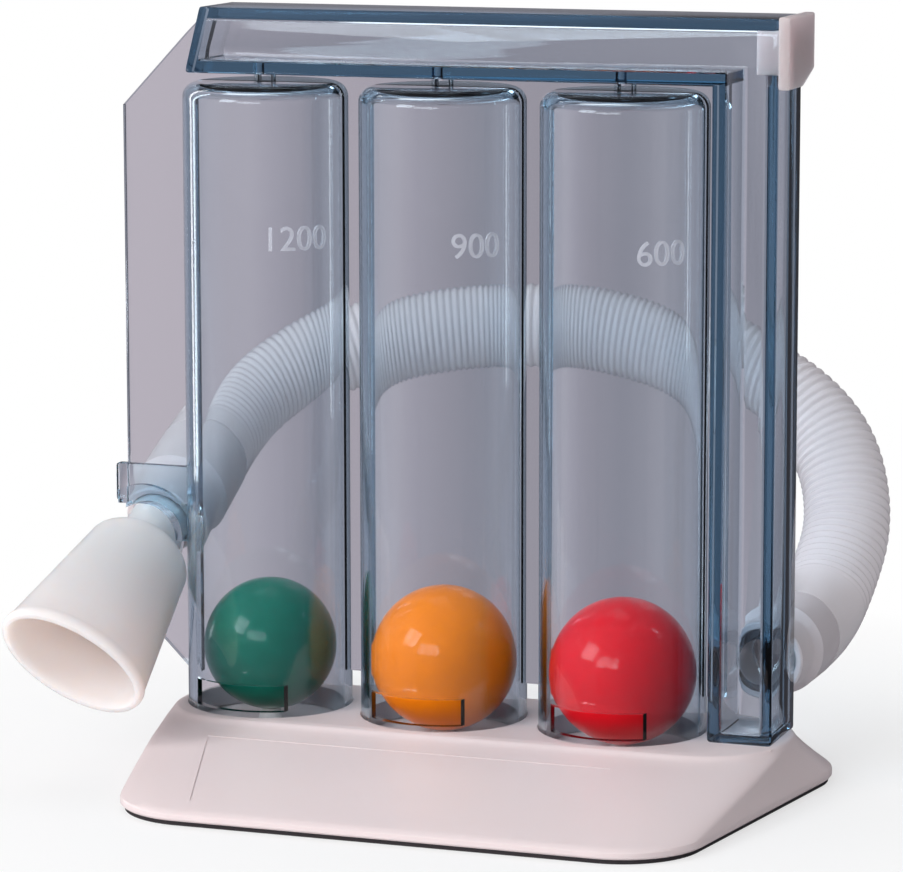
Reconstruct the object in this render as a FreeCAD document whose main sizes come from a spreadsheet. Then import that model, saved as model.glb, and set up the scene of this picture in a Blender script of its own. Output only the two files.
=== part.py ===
"""Three-ball incentive spirometer: clear bonded body with three ball tubes, a header and an air duct,
standing in a moulded base, with a corrugated hose whose mouthpiece rests in the notch of the side wing.

Frame: millimetres, +Z up, X along the row of tubes, -Y towards the reader of the scale.
The origin is under the axis of the middle tube, on the surface that the object stands on.
"""
import FreeCAD, Part
import math
import os
import Sketcher

os.makedirs("parts", exist_ok=True)
doc = FreeCAD.newDocument("spirometer")
V = FreeCAD.Vector

# Driving sizes in millimetres and degrees. Each is set by itself.
SIZES = {
    # base
    "mat_thick": 0.8, "mat_inset": 0.7,
    "base_height": 9.0, "base_lip": 1.4, "base_shift": 9.0,
    "base_front": 56.2, "base_back": 22.0, "base_front_half": 48.9, "base_back_half": 60.8,
    "base_corner": 14.5, "deck_shift": 6.9,
    "deck_front": 16.8, "deck_back": 16.0, "deck_front_half": 55.4, "deck_back_half": 54.6,
    "deck_corner": 14.0, "deck_round": 0.6,
    "seat_depth": 3.5, "seat_gap": 0.15,
    "stop_dia": 4.6, "stop_tip_dia": 3.4, "stop_height": 0.8, "small_stop_height": 2.1,
    "foot_pad_front": 1.6, "foot_pad_side": 0.5,
    # tubes
    "tube_dia": 29.0, "tube_wall": 1.35, "tube_pitch": 32.6, "tube_height": 113.0, "tube_round": 2.6,
    "neck_dia": 4.0, "vent_dia": 2.0,
    "window_left": 9.2, "window_right": 7.5, "window_rise": 0.9, "window_height": 4.6,
    # balls
    "ball_dia": 25.4, "small_ball_dia": 23.4,
    # bonded flange, webs and wing
    "flange_half": 1.2, "web_rise": 6.6,
    "wing_width": 12.2, "wing_foot_rise": 4.3, "wing_foot_cut": 12.2,
    "wing_top_drop": 4.9, "wing_top_cut": 12.9,
    # header and duct
    "header_gap": 1.6, "header_height": 11.4, "header_left": 45.0, "header_slant": 2.9,
    "front_depth": 6.6, "rear_depth": 8.5, "box_wall": 1.4, "box_round": 1.0,
    "duct_gap": 2.35, "duct_width": 11.4,
    # end cap
    "cap_lip": 2.0, "cap_front_over": 0.3, "cap_rear_over": 3.6, "cap_side_over": 0.3,
    "cap_plug": 4.0, "cap_clearance": 0.05, "cap_cut": 2.4, "cap_round": 0.5,
    # holder in the wing
    "notch_x": 55.3, "notch_z": 37.2, "notch_radius": 6.3, "notch_drop": 7.6,
    "collar_width": 3.4, "collar_depth": 6.0, "hook_drop": 3.0,
    "tab_over": 1.9, "tab_lift": 0.4, "tab_height": 5.4, "tab_depth": 2.4, "tab_right": 44.6,
    # port and hose
    "port_x": 55.3, "port_z": 20.7, "port_dia": 10.8, "port_bore": 8.0, "port_length": 10.0,
    "hose_dia": 16.0, "cuff_clearance": 0.05, "cuff_wall": 1.3, "cuff_step": 8.0, "cuff_gap": 0.5,
    "port_cuff_length": 21.0, "mouth_cuff_length": 22.0, "mouth_cuff_start": 6.0,
    # mouthpiece
    "spout_x": 55.3, "spout_z": 36.8, "spout_pitch": 22.0, "spout_yaw": 2.0, "spout_roll": -34.0,
    "spigot_dia": 11.0, "spigot_bore": 8.4, "spigot_back": 18.0, "spigot_front": 6.9,
    "spout_length": 40.5, "shoulder_length": 8.0, "shoulder_half": 9.4, "shoulder_thick": 6.6,
    "mouth_half": 13.2, "mouth_thick": 7.4, "spout_wall": 1.3, "lip_bead": 1.5, "lip_swell": 0.4,
}

sheet = doc.addObject("Spreadsheet::Sheet", "sizes")
for row, (alias, number) in enumerate(SIZES.items(), start=1):
    sheet.set("A%d" % row, alias)
    sheet.set("B%d" % row, str(number))
    sheet.setAlias("B%d" % row, alias)
doc.recompute()


class Measure:
    """a length as an expression on the sheet, with the number it comes to"""

    def __init__(self, number, text):
        self.number = number
        self.text = text

    def joined(self, other, sign, number):
        other_text = other.text if isinstance(other, Measure) else str(other)
        return Measure(number, "(%s %s %s)" % (self.text, sign, other_text))

    def __add__(self, other):
        return self.joined(other, "+", self.number + amount(other))

    def __sub__(self, other):
        return self.joined(other, "-", self.number - amount(other))

    def __mul__(self, other):
        return self.joined(other, "*", self.number * amount(other))

    def __truediv__(self, other):
        return self.joined(other, "/", self.number / amount(other))

    def __neg__(self):
        return Measure(-self.number, "(0 - %s)" % self.text)


def amount(measure):
    """the number of a measure, or a plain number as it is"""
    return measure.number if isinstance(measure, Measure) else measure


def size(alias):
    return Measure(float(getattr(sheet, alias)), "sizes." + alias)


# Levels and edges that several pieces share.
ZERO = Measure(0, "0")
DECK = size("base_height")
FOOT = DECK - size("seat_depth")
TUBE_RADIUS = size("tube_dia") / 2
BORE_RADIUS = TUBE_RADIUS - size("tube_wall")
TUBE_TOP = FOOT + size("tube_height")
HEADER_FLOOR = TUBE_TOP + size("header_gap")
HEADER_TOP = HEADER_FLOOR + size("header_height")
HEADER_LEFT = -size("header_left")
HEADER_LEFT_TOP = HEADER_LEFT + size("header_slant")
WEB_FOOT = DECK + size("web_rise")
TUBES_LEFT = -size("tube_pitch") - TUBE_RADIUS
WING_LEFT = TUBES_LEFT - size("wing_width")
TAB_LEFT = WING_LEFT - size("tab_over")
DUCT_LEFT = size("tube_pitch") + TUBE_RADIUS + size("duct_gap")
DUCT_RIGHT = DUCT_LEFT + size("duct_width")
NOTCH_X = -size("notch_x")
NOTCH_TOP = size("notch_z") + size("notch_radius")
TUBE_XS = (-size("tube_pitch"), ZERO, size("tube_pitch"))
LEVEL = "XY_Plane"
FORWARD = "XZ_Plane"
ACROSS = "YZ_Plane"
OVERLAP = Measure(1.0, "1")
CLEAR = 1.0
TOLERANCE = 0.01


def new_body(label):
    body = doc.addObject("PartDesign::Body", label)
    body.Label = label
    return body


def bind(item, name, measure):
    item.setExpression(name, measure.text)


def new_sketch(body, name, plane, offset=ZERO):
    """a sketch on one of the body's own origin planes, moved along the plane's normal"""
    sketch = body.newObject("Sketcher::SketchObject", name)
    for feature in body.Origin.OriginFeatures:
        if feature.Role == plane:
            sketch.AttachmentSupport = (feature, [""])
    sketch.MapMode = "FlatFace"
    bind(sketch, "AttachmentOffset.Base.z", offset)
    return sketch


def pin(sketch, geometry, point, axis, measure):
    """ties one coordinate of a sketch point to a measure, or to the axis where it is zero"""
    if measure is ZERO:
        line = -2 if axis == "X" else -1
        sketch.addConstraint(Sketcher.Constraint("PointOnObject", geometry, point, line))
        return
    number = sketch.addConstraint(
        Sketcher.Constraint("Distance" + axis, -1, 1, geometry, point, measure.number))
    bind(sketch, "Constraints[%d]" % number, measure)


def spot(corner):
    return V(corner[0].number, corner[1].number, 0)


def outline(sketch, corners):
    """a closed outline of straight lines, each corner a pair of measures"""
    count = len(corners)
    first = sketch.GeometryCount
    for k in range(count):
        sketch.addGeometry(Part.LineSegment(spot(corners[k]), spot(corners[(k + 1) % count])), False)
    for k in range(count):
        sketch.addConstraint(Sketcher.Constraint("Coincident", first + k, 2, first + (k + 1) % count, 1))
        pin(sketch, first + k, 1, "X", corners[k][0])
        pin(sketch, first + k, 1, "Y", corners[k][1])


def rounded_outline(sketch, corners, radius):
    """a closed outline whose sharp corners are pinned points, each rounded by a tangent arc"""
    count = len(corners)
    sharp = [spot(corner) for corner in corners]
    starts = []
    ends = []
    for k in range(count):
        back = (sharp[k - 1] - sharp[k]).normalize()
        ahead = (sharp[(k + 1) % count] - sharp[k]).normalize()
        reach = radius.number / math.tan(back.getAngle(ahead) / 2)
        starts.append(sharp[k] + back * reach)
        ends.append(sharp[k] + ahead * reach)
    first = sketch.GeometryCount
    for k in range(count):
        sketch.addGeometry(Part.LineSegment(ends[k], starts[(k + 1) % count]), False)
    for k in range(count):
        inward = ((starts[k] + ends[k]) / 2 - sharp[k]).normalize()
        half = (starts[k] - sharp[k]).getAngle(inward)
        middle = sharp[k] + inward * (radius.number / math.sin(half) - radius.number)
        sketch.addGeometry(Part.Arc(starts[k], middle, ends[k]), False)
    for k in range(count):
        arc = first + count + k
        before = first + (k - 1) % count
        sketch.addConstraint(Sketcher.Constraint("Tangent", before, 2, arc, 1))
        sketch.addConstraint(Sketcher.Constraint("Tangent", arc, 2, first + k, 1))
        number = sketch.addConstraint(Sketcher.Constraint("Radius", arc, radius.number))
        bind(sketch, "Constraints[%d]" % number, radius)
        point = sketch.addGeometry(Part.Point(sharp[k]), True)
        sketch.addConstraint(Sketcher.Constraint("PointOnObject", point, 1, before))
        sketch.addConstraint(Sketcher.Constraint("PointOnObject", point, 1, first + k))
        pin(sketch, point, 1, "X", corners[k][0])
        pin(sketch, point, 1, "Y", corners[k][1])


def rectangle(sketch, left, low, right, high):
    outline(sketch, ((left, low), (right, low), (right, high), (left, high)))


def circle(sketch, across, along, radius):
    """a circle whose centre and radius are measures"""
    number = sketch.addGeometry(Part.Circle(spot((across, along)), V(0, 0, 1), radius.number), False)
    pin(sketch, number, 3, "X", across)
    pin(sketch, number, 3, "Y", along)
    constraint = sketch.addConstraint(Sketcher.Constraint("Radius", number, radius.number))
    bind(sketch, "Constraints[%d]" % constraint, radius)


def three_circles(sketch, radius):
    for across in TUBE_XS:
        circle(sketch, across, ZERO, radius)


def pad(body, name, sketch, length, reverse=False):
    feature = body.newObject("PartDesign::Pad", name)
    feature.Profile = sketch
    bind(feature, "Length", length)
    feature.Reversed = reverse
    return feature


def pocket(body, name, sketch, length, reverse=False):
    feature = body.newObject("PartDesign::Pocket", name)
    feature.Profile = sketch
    bind(feature, "Length", length)
    feature.Reversed = reverse
    return feature


def round_edges(body, name, base, chosen, radius):
    """a fillet on the edges of a feature that the test picks out"""
    doc.recompute()
    names = ["Edge%d" % k for k, edge in enumerate(base.Shape.Edges, start=1) if chosen(edge)]
    feature = body.newObject("PartDesign::Fillet", name)
    feature.Base = (base, names)
    bind(feature, "Radius", radius)
    doc.recompute()
    return feature


def is_upright(edge):
    return abs(edge.tangentAt(edge.FirstParameter).z) > 0.999


def base_corners(front, back, front_half, back_half, middle):
    """the four corners of a base outline, front left first"""
    return ((middle - front_half, -front), (middle + front_half, -front),
            (middle + back_half, back), (middle - back_half, back))


def make_base_mat():
    """thin dark foam mat under the base"""
    body = new_body("base_mat")
    sketch = new_sketch(body, "mat_outline", LEVEL)
    inset = size("mat_inset")
    corners = base_corners(size("base_front") - inset, size("base_back") - inset,
                           size("base_front_half") - inset, size("base_back_half") - inset,
                           size("base_shift"))
    rounded_outline(sketch, corners, size("base_corner") - inset)
    pad(body, "mat_pad", sketch, size("mat_thick"))
    return body


def make_base_shell():
    """moulded base: upright lip, four slopes up to a flat deck, a socket for each tube, a pad for the duct"""
    body = new_body("base_shell")
    sharp = base_corners(size("base_front"), size("base_back"),
                         size("base_front_half"), size("base_back_half"), size("base_shift"))
    foot_level = size("mat_thick") + size("base_lip")
    lip = new_sketch(body, "lip_outline", LEVEL, size("mat_thick"))
    rounded_outline(lip, sharp, size("base_corner"))
    pad(body, "lip", lip, size("base_lip"))
    low = new_sketch(body, "slope_foot", LEVEL, foot_level)
    rounded_outline(low, sharp, size("base_corner"))
    edge = size("deck_round")
    shoulder = new_sketch(body, "deck_shoulder", LEVEL, DECK - edge)
    rounded_outline(shoulder, base_corners(size("deck_front") + edge, size("deck_back") + edge,
                                           size("deck_front_half") + edge, size("deck_back_half") + edge,
                                           size("deck_shift")),
                    size("deck_corner") + edge)
    high = new_sketch(body, "slope_head", LEVEL, DECK)
    rounded_outline(high, base_corners(size("deck_front"), size("deck_back"),
                                       size("deck_front_half"), size("deck_back_half"),
                                       size("deck_shift")),
                    size("deck_corner"))
    slopes = body.newObject("PartDesign::AdditiveLoft", "slopes")
    slopes.Profile = low
    slopes.Sections = [shoulder, high]
    slopes.Ruled = True
    foot = new_sketch(body, "duct_pad_outline", LEVEL, foot_level)
    rectangle(foot, DUCT_LEFT - size("foot_pad_side"), -size("front_depth") - size("foot_pad_front"),
              DUCT_RIGHT + size("foot_pad_side"), size("rear_depth") / 4)
    pad(body, "duct_pad", foot, DECK - foot_level)
    seats = new_sketch(body, "seat_outline", LEVEL, DECK)
    three_circles(seats, TUBE_RADIUS + size("seat_gap"))
    pocket(body, "seats", seats, size("seat_depth"))
    return body


def make_ball_stop(label, across, height):
    """small tapered stop in the middle of a socket, which the ball rests on"""
    stop = doc.addObject("Part::Cone", label)
    bind(stop, "Radius1", size("stop_dia") / 2)
    bind(stop, "Radius2", size("stop_tip_dia") / 2)
    bind(stop, "Height", height)
    bind(stop, "Placement.Base.x", across)
    bind(stop, "Placement.Base.z", FOOT)
    return stop


def make_ball(label, across, diameter, stop_height):
    """float ball at rest on its stop"""
    ball = doc.addObject("Part::Sphere", label)
    bind(ball, "Radius", diameter / 2)
    bind(ball, "Placement.Base.x", across)
    bind(ball, "Placement.Base.z", FOOT + stop_height + diameter / 2)
    return ball


def header_outline(sketch, inset, right_end):
    """L-shaped outline of the header and the duct, or of the hollow inside them"""
    outline(sketch, (
        (HEADER_LEFT + inset, HEADER_FLOOR + inset), (DUCT_LEFT + inset, HEADER_FLOOR + inset),
        (DUCT_LEFT + inset, DECK + inset), (DUCT_RIGHT - inset, DECK + inset),
        (DUCT_RIGHT - inset, HEADER_FLOOR + inset), (right_end, HEADER_FLOOR + inset),
        (right_end, HEADER_TOP - inset), (HEADER_LEFT_TOP + inset, HEADER_TOP - inset)))


def make_shell(label, front):
    """one half of the bonded clear body: tubes, webs, wing, header and duct on one side of the parting plane"""
    body = new_body(label)
    depth = size("front_depth") if front else size("rear_depth")
    wall = size("box_wall")
    half_wall = size("tube_wall") / 2
    backward = not front
    behind = OVERLAP if backward else -OVERLAP

    flange = new_sketch(body, label + "_flange", FORWARD, behind)
    foot_corner = DECK + size("wing_foot_rise")
    outline(flange, (
        (WING_LEFT, foot_corner + size("wing_foot_cut")), (TUBES_LEFT, foot_corner),
        (TUBES_LEFT + half_wall, foot_corner), (TUBES_LEFT + half_wall, WEB_FOOT),
        (DUCT_RIGHT, WEB_FOOT), (DUCT_RIGHT, HEADER_TOP), (HEADER_LEFT_TOP, HEADER_TOP),
        (TUBES_LEFT, HEADER_TOP - size("wing_top_drop")),
        (WING_LEFT, HEADER_TOP - size("wing_top_drop") - size("wing_top_cut"))))
    pad(body, label + "_plate", flange, size("flange_half") + OVERLAP, backward)

    tubes = new_sketch(body, label + "_tube_outline", LEVEL, FOOT)
    three_circles(tubes, TUBE_RADIUS)
    tube_pad = pad(body, label + "_tubes", tubes, size("tube_height"))

    def is_dome_edge(edge):
        place = edge.BoundBox
        return hasattr(edge.Curve, "Radius") and place.ZLength < TOLERANCE \
            and abs(place.ZMin - TUBE_TOP.number) < TOLERANCE

    round_edges(body, label + "_domes", tube_pad, is_dome_edge, size("tube_round"))

    box = new_sketch(body, label + "_box_outline", FORWARD, behind)
    outline(box, (
        (HEADER_LEFT, HEADER_FLOOR), (DUCT_LEFT, HEADER_FLOOR), (DUCT_LEFT, DECK),
        (DUCT_RIGHT, DECK), (DUCT_RIGHT, HEADER_TOP), (HEADER_LEFT_TOP, HEADER_TOP)))
    box_pad = pad(body, label + "_box", box, depth + OVERLAP, backward)

    def is_duct_corner(edge):
        place = edge.BoundBox
        far = abs(abs(place.YMin) - depth.number) < TOLERANCE and place.YLength < TOLERANCE
        return far and is_upright(edge) and place.XMin > DUCT_LEFT.number - TOLERANCE

    round_edges(body, label + "_duct_corners", box_pad, is_duct_corner, size("box_round"))

    necks = new_sketch(body, label + "_neck_outline", LEVEL, TUBE_TOP - half_wall)
    three_circles(necks, size("neck_dia") / 2)
    pad(body, label + "_necks", necks, size("header_gap") + half_wall + wall / 2)

    if front:
        add_holder(body, label)
    else:
        add_port(body, label)

    bores = new_sketch(body, label + "_bore_outline", LEVEL, FOOT)
    three_circles(bores, BORE_RADIUS)
    pocket(body, label + "_bores", bores, size("tube_height") - size("tube_wall"), True)

    hollow = new_sketch(body, label + "_hollow_outline", FORWARD, behind)
    header_outline(hollow, wall, DUCT_RIGHT + CLEAR)
    pocket(body, label + "_hollow", hollow, depth - wall + OVERLAP, front)

    vents = new_sketch(body, label + "_vent_outline", LEVEL, TUBE_TOP - size("tube_wall") - CLEAR)
    three_circles(vents, size("vent_dia") / 2)
    pocket(body, label + "_vents", vents, size("tube_wall") + size("header_gap") + wall + CLEAR * 2, True)

    if front:
        windows = new_sketch(body, label + "_window_outline", FORWARD)
        low = DECK + size("window_rise")
        for across in TUBE_XS:
            rectangle(windows, across - size("window_left"), low,
                      across + size("window_right"), low + size("window_height"))
        pocket(body, label + "_windows", windows, size("tube_dia"), True)
    else:
        bore = new_sketch(body, label + "_port_bore_outline", FORWARD)
        circle(bore, size("port_x"), size("port_z"), size("port_bore") / 2)
        pocket(body, label + "_port_bore", bore, depth + size("port_length") + CLEAR)

    cut_notch(body, label, front)

    far_side = new_sketch(body, label + "_parting_outline", FORWARD)
    rectangle(far_side, TAB_LEFT - CLEAR, DECK - size("seat_depth") - CLEAR,
              DUCT_RIGHT + CLEAR, HEADER_TOP + CLEAR)
    pocket(body, label + "_parting", far_side, size("tube_dia"), backward)
    return body


def cut_notch(body, label, front):
    """notch for the mouthpiece's spigot: round at the top and right, open to the left and longer below"""
    through = size("collar_depth") + OVERLAP + CLEAR
    left = TAB_LEFT - CLEAR
    behind = -OVERLAP if front else OVERLAP
    notch = new_sketch(body, label + "_notch_outline", FORWARD, behind)
    circle(notch, NOTCH_X, size("notch_z"), size("notch_radius"))
    pocket(body, label + "_notch", notch, through, front)
    slot = new_sketch(body, label + "_slot_outline", FORWARD, behind)
    rectangle(slot, left, size("notch_z") - size("notch_drop"),
              NOTCH_X + size("notch_radius") * 0.97, size("notch_z"))
    pocket(body, label + "_slot", slot, through, front)
    mouth = new_sketch(body, label + "_slot_mouth_outline", FORWARD, behind)
    rectangle(mouth, left, size("notch_z") - CLEAR, NOTCH_X, NOTCH_TOP - size("hook_drop"))
    pocket(body, label + "_slot_mouth", mouth, through, front)


def add_holder(body, label):
    """collar round the notch and the tab above it, both on the front of the wing"""
    outer = size("notch_radius") + size("collar_width")
    collar = new_sketch(body, label + "_collar_outline", FORWARD, -OVERLAP)
    circle(collar, NOTCH_X, size("notch_z"), outer)
    pad(body, label + "_collar", collar, size("collar_depth") + OVERLAP)
    below = new_sketch(body, label + "_collar_cut_outline", FORWARD, size("flange_half"))
    rectangle(below, NOTCH_X - outer - CLEAR, size("notch_z") - outer - CLEAR,
              NOTCH_X + outer + CLEAR, size("notch_z"))
    pocket(body, label + "_collar_cut", below, size("collar_depth"), True)
    tab = new_sketch(body, label + "_tab_outline", FORWARD, -OVERLAP)
    low = NOTCH_TOP + size("tab_lift")
    rectangle(tab, TAB_LEFT, low, -size("tab_right"), low + size("tab_height"))
    pad(body, label + "_tab", tab, size("tab_depth") + OVERLAP)


def add_port(body, label):
    """hose port on the back of the duct, near its foot"""
    half_wall = size("box_wall") / 2
    port = new_sketch(body, label + "_port_outline", FORWARD, half_wall - size("rear_depth"))
    circle(port, size("port_x"), size("port_z"), size("port_dia") / 2)
    pad(body, label + "_port", port, size("port_length") + half_wall, True)


def make_end_cap():
    """cap that closes the open right-hand end of the header: a lip outside and a plug inside"""
    body = new_body("header_end_cap")
    front = -size("front_depth") - size("cap_front_over")
    rear = size("rear_depth") + size("cap_rear_over")
    low = HEADER_FLOOR - size("cap_side_over")
    high = HEADER_TOP + size("cap_side_over")
    cut = size("cap_cut")
    lip = new_sketch(body, "cap_lip_outline", ACROSS, DUCT_RIGHT)
    outline(lip, ((front, low), (rear - cut, low), (rear, low + cut), (rear, high), (front, high)))
    lip_pad = pad(body, "cap_lip_pad", lip, size("cap_lip"))
    outer = DUCT_RIGHT + size("cap_lip")
    round_edges(body, "cap_lip_round", lip_pad,
                lambda edge: edge.BoundBox.XMin > outer.number - TOLERANCE, size("cap_round"))
    inset = size("box_wall") + size("cap_clearance")
    plug = new_sketch(body, "cap_plug_outline", ACROSS, DUCT_RIGHT)
    rectangle(plug, inset - size("front_depth"), HEADER_FLOOR + inset,
              size("rear_depth") - inset, HEADER_TOP - inset)
    pad(body, "cap_plug_pad", plug, size("cap_plug"), True)
    return body


def make_cuff(label, spigot_dia, start, length, socket_end):
    """soft sleeve turned about its own Z axis: a socket for a spigot, then a flare out to the hose"""
    body = new_body(label)
    profile = new_sketch(body, label + "_profile", FORWARD)
    inner = spigot_dia / 2 + size("cuff_clearance")
    outer = inner + size("cuff_wall")
    wide = size("hose_dia") / 2
    narrow_end = start + size("cuff_step")
    end = start + length
    outline(profile, (
        (inner, start), (outer, start), (outer, narrow_end), (wide, narrow_end + (wide - outer)),
        (wide, end), (wide - size("cuff_wall"), end), (wide - size("cuff_wall"), socket_end),
        (inner, socket_end)))
    turned = body.newObject("PartDesign::Revolution", label + "_turned")
    turned.Profile = profile
    turned.ReferenceAxis = (profile, ["V_Axis"])
    turned.Angle = 360
    return body


def spout_turn():
    """turns a piece's own Z axis into the spout's outward axis, with the flat of the spout rolled"""
    yaw = FreeCAD.Rotation(V(0, 0, 1), size("spout_yaw").number)
    pitch = FreeCAD.Rotation(V(1, 0, 0), 90 + size("spout_pitch").number)
    roll = FreeCAD.Rotation(V(0, 0, 1), size("spout_roll").number)
    return yaw.multiply(pitch).multiply(roll)


def seat_on_spout(piece, turn):
    """places a piece at the point where the spout's axis crosses the parting plane"""
    piece.Placement = FreeCAD.Placement(V(0, 0, 0), turn)
    bind(piece, "Placement.Base.x", -size("spout_x"))
    bind(piece, "Placement.Base.z", size("spout_z"))


def ellipse_loft(name, sections):
    """solid through ellipses, each a height along Z and its two half widths"""
    rings = []
    for number, (height, long_half, short_half) in enumerate(sections, start=1):
        ring = doc.addObject("Part::Ellipse", "%s_ring_%d" % (name, number))
        bind(ring, "MajorRadius", long_half)
        bind(ring, "MinorRadius", short_half)
        bind(ring, "Placement.Base.z", height)
        rings.append(ring)
    loft = doc.addObject("Part::Loft", name)
    loft.Sections = rings
    loft.Solid = True
    loft.Ruled = True
    return loft


def shoulder_rings(low, throat, inset):
    """rings of the swelling shoulder, from a round throat to the flattened body, eased at both ends"""
    rings = []
    for step in range(5):
        share = (1 - math.cos(math.pi * step / 4)) / 2
        long_half = throat + (size("shoulder_half") - inset - throat) * share
        short_half = throat - TOLERANCE + (size("shoulder_thick") - inset - throat) * share
        rings.append((low + size("shoulder_length") * (step / 4), long_half, short_half))
    return rings


def cylinder_from(name, radius, low, high):
    rod = doc.addObject("Part::Cylinder", name)
    bind(rod, "Radius", radius)
    bind(rod, "Height", high - low)
    bind(rod, "Placement.Base.z", low)
    return rod


def make_mouthpiece():
    """flattened funnel with a round spigot behind it and a swollen rim, all in one, open right through"""
    wall = size("spout_wall")
    start = size("spigot_front")
    end = size("spout_length")
    long_half = size("mouth_half")
    short_half = size("mouth_thick")
    spigot = size("spigot_dia") / 2
    bore = size("spigot_bore") / 2
    bead = size("lip_bead")
    swell = size("lip_swell")
    outside = ellipse_loft("spout_outside", shoulder_rings(start, spigot, ZERO) + [
        (end - bead * 2, long_half, short_half),
        (end - bead, long_half + swell, short_half + swell),
        (end, long_half, short_half)])
    inside = ellipse_loft("spout_inside", shoulder_rings(start + wall, bore, wall) + [
        (end - bead * 2, long_half - wall, short_half - wall),
        (end + CLEAR, long_half - wall, short_half - wall)])
    rod = cylinder_from("spigot_outside", spigot - TOLERANCE * 2, -size("spigot_back"), start + wall / 4)
    hole = cylinder_from("spigot_inside", bore - TOLERANCE * 2, -size("spigot_back") - CLEAR, start + wall * 1.2)
    solid = doc.addObject("Part::MultiFuse", "spout_solid")
    solid.Shapes = [outside, rod]
    hollow = doc.addObject("Part::MultiFuse", "spout_hollow")
    hollow.Shapes = [inside, hole]
    piece = doc.addObject("Part::Cut", "mouthpiece")
    piece.Base = solid
    piece.Tool = hollow
    seat_on_spout(piece, spout_turn())
    return piece


# Route of the hose's middle line from the port cuff to the mouthpiece cuff, chosen by hand.
# Its first and last points are the ends of the cuffs and come from the sizes.
ROUTE = (
    V(55.3, 41.5, 20.7), V(56.2, 52.0, 26.6), V(57.0, 61.0, 36.0), V(52.8, 68.0, 47.8),
    V(43.6, 72.0, 56.0), V(30.6, 73.0, 62.1), V(15.2, 72.0, 66.1), V(-2.5, 70.0, 68.6),
    V(-21.5, 64.0, 67.6), V(-39.5, 57.0, 64.5), V(-51.5, 48.0, 58.2))
LAST_RUN = 12.5


def hose_points():
    """the whole route, with both ends on the axes of their cuffs"""
    port = size("rear_depth") + size("cuff_gap") + size("port_cuff_length")
    start = V(size("port_x").number, port.number, size("port_z").number)
    axis = spout_turn().multVec(V(0, 0, -1))
    reach = size("mouth_cuff_start") + size("mouth_cuff_length")
    end = V(-size("spout_x").number, 0, size("spout_z").number) + axis * reach.number
    return [start] + list(ROUTE) + [end + axis * LAST_RUN, end]


def make_hose():
    """plain tube on the route: straight runs joined by tangent arcs as large as the runs allow"""
    points = hose_points()
    edges = []
    radii = []
    length = 0.0
    last = points[0]
    for before, corner, after in zip(points, points[1:], points[2:]):
        come = corner - before
        leave = after - corner
        turn = come.getAngle(leave)
        reach = 0.45 * min(come.Length, leave.Length)
        come = come.normalize()
        leave = leave.normalize()
        radius = reach / math.tan(turn / 2)
        into = corner - come * reach
        out = corner + leave * reach
        inward = (leave - come).normalize()
        middle = corner + inward * (radius / math.cos(turn / 2) - radius)
        edges.append(Part.LineSegment(last, into).toShape())
        edges.append(Part.Arc(into, middle, out).toShape())
        length += last.distanceToPoint(into) + radius * turn
        radii.append(round(radius, 1))
        last = out
    edges.append(Part.LineSegment(last, points[-1]).toShape())
    length += last.distanceToPoint(points[-1])
    radius = size("hose_dia").number / 2
    section = Part.Wire([Part.Circle(points[0], points[1] - points[0], radius).toShape()])
    tube = Part.Wire(edges).makePipeShell([section], True, True)
    print("hose: length %.1f, radii %s" % (length, radii))
    print("hose: volume %.0f, section times length %.0f" % (tube.Volume, math.pi * radius ** 2 * length))
    hose = doc.addObject("Part::Feature", "hose")
    hose.Shape = tube
    hose.Placement = FreeCAD.Placement()
    return hose


parts = [make_base_mat(), make_base_shell()]
for colour, across, diameter, height in (
        ("green", TUBE_XS[0], size("small_ball_dia"), size("small_stop_height")),
        ("yellow", TUBE_XS[1], size("ball_dia"), size("stop_height")),
        ("red", TUBE_XS[2], size("ball_dia"), size("stop_height"))):
    parts.append(make_ball_stop("ball_stop_" + colour, across, height))
    parts.append(make_ball("ball_" + colour, across, diameter, height))
parts.append(make_shell("front_shell", True))
parts.append(make_shell("rear_shell", False))
parts.append(make_end_cap())

port_cuff = make_cuff("hose_port_cuff", size("port_dia"), size("cuff_gap"), size("port_cuff_length"),
                      size("port_length") + size("cuff_gap"))
port_cuff.Placement = FreeCAD.Placement(V(0, 0, 0), FreeCAD.Rotation(V(1, 0, 0), -90))
bind(port_cuff, "Placement.Base.x", size("port_x"))
bind(port_cuff, "Placement.Base.y", size("rear_depth"))
bind(port_cuff, "Placement.Base.z", size("port_z"))
parts.append(port_cuff)

mouth_cuff = make_cuff("hose_mouth_cuff", size("spigot_dia"), size("mouth_cuff_start"),
                       size("mouth_cuff_length"), size("spigot_back") + size("cuff_gap"))
seat_on_spout(mouth_cuff, spout_turn().multiply(FreeCAD.Rotation(V(1, 0, 0), 180)))
parts.append(mouth_cuff)
parts.append(make_mouthpiece())
parts.append(make_hose())
doc.recompute()

for item in doc.Objects:
    if "Invalid" in item.State or "Error" in item.State:
        raise RuntimeError("%s did not compute: %s" % (item.Label, item.State))
for piece in parts:
    shape = piece.Shape
    if shape.isNull() or not shape.isValid():
        raise RuntimeError("%s has no valid shape" % piece.Label)
    print("%-18s solids %d volume %9.1f" % (piece.Label, len(shape.Solids), shape.Volume))
    shape.exportStep("parts/%s.step" % piece.Label)
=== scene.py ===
"""Looks of the three-ball breathing exerciser, piece by piece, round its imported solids."""

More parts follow.
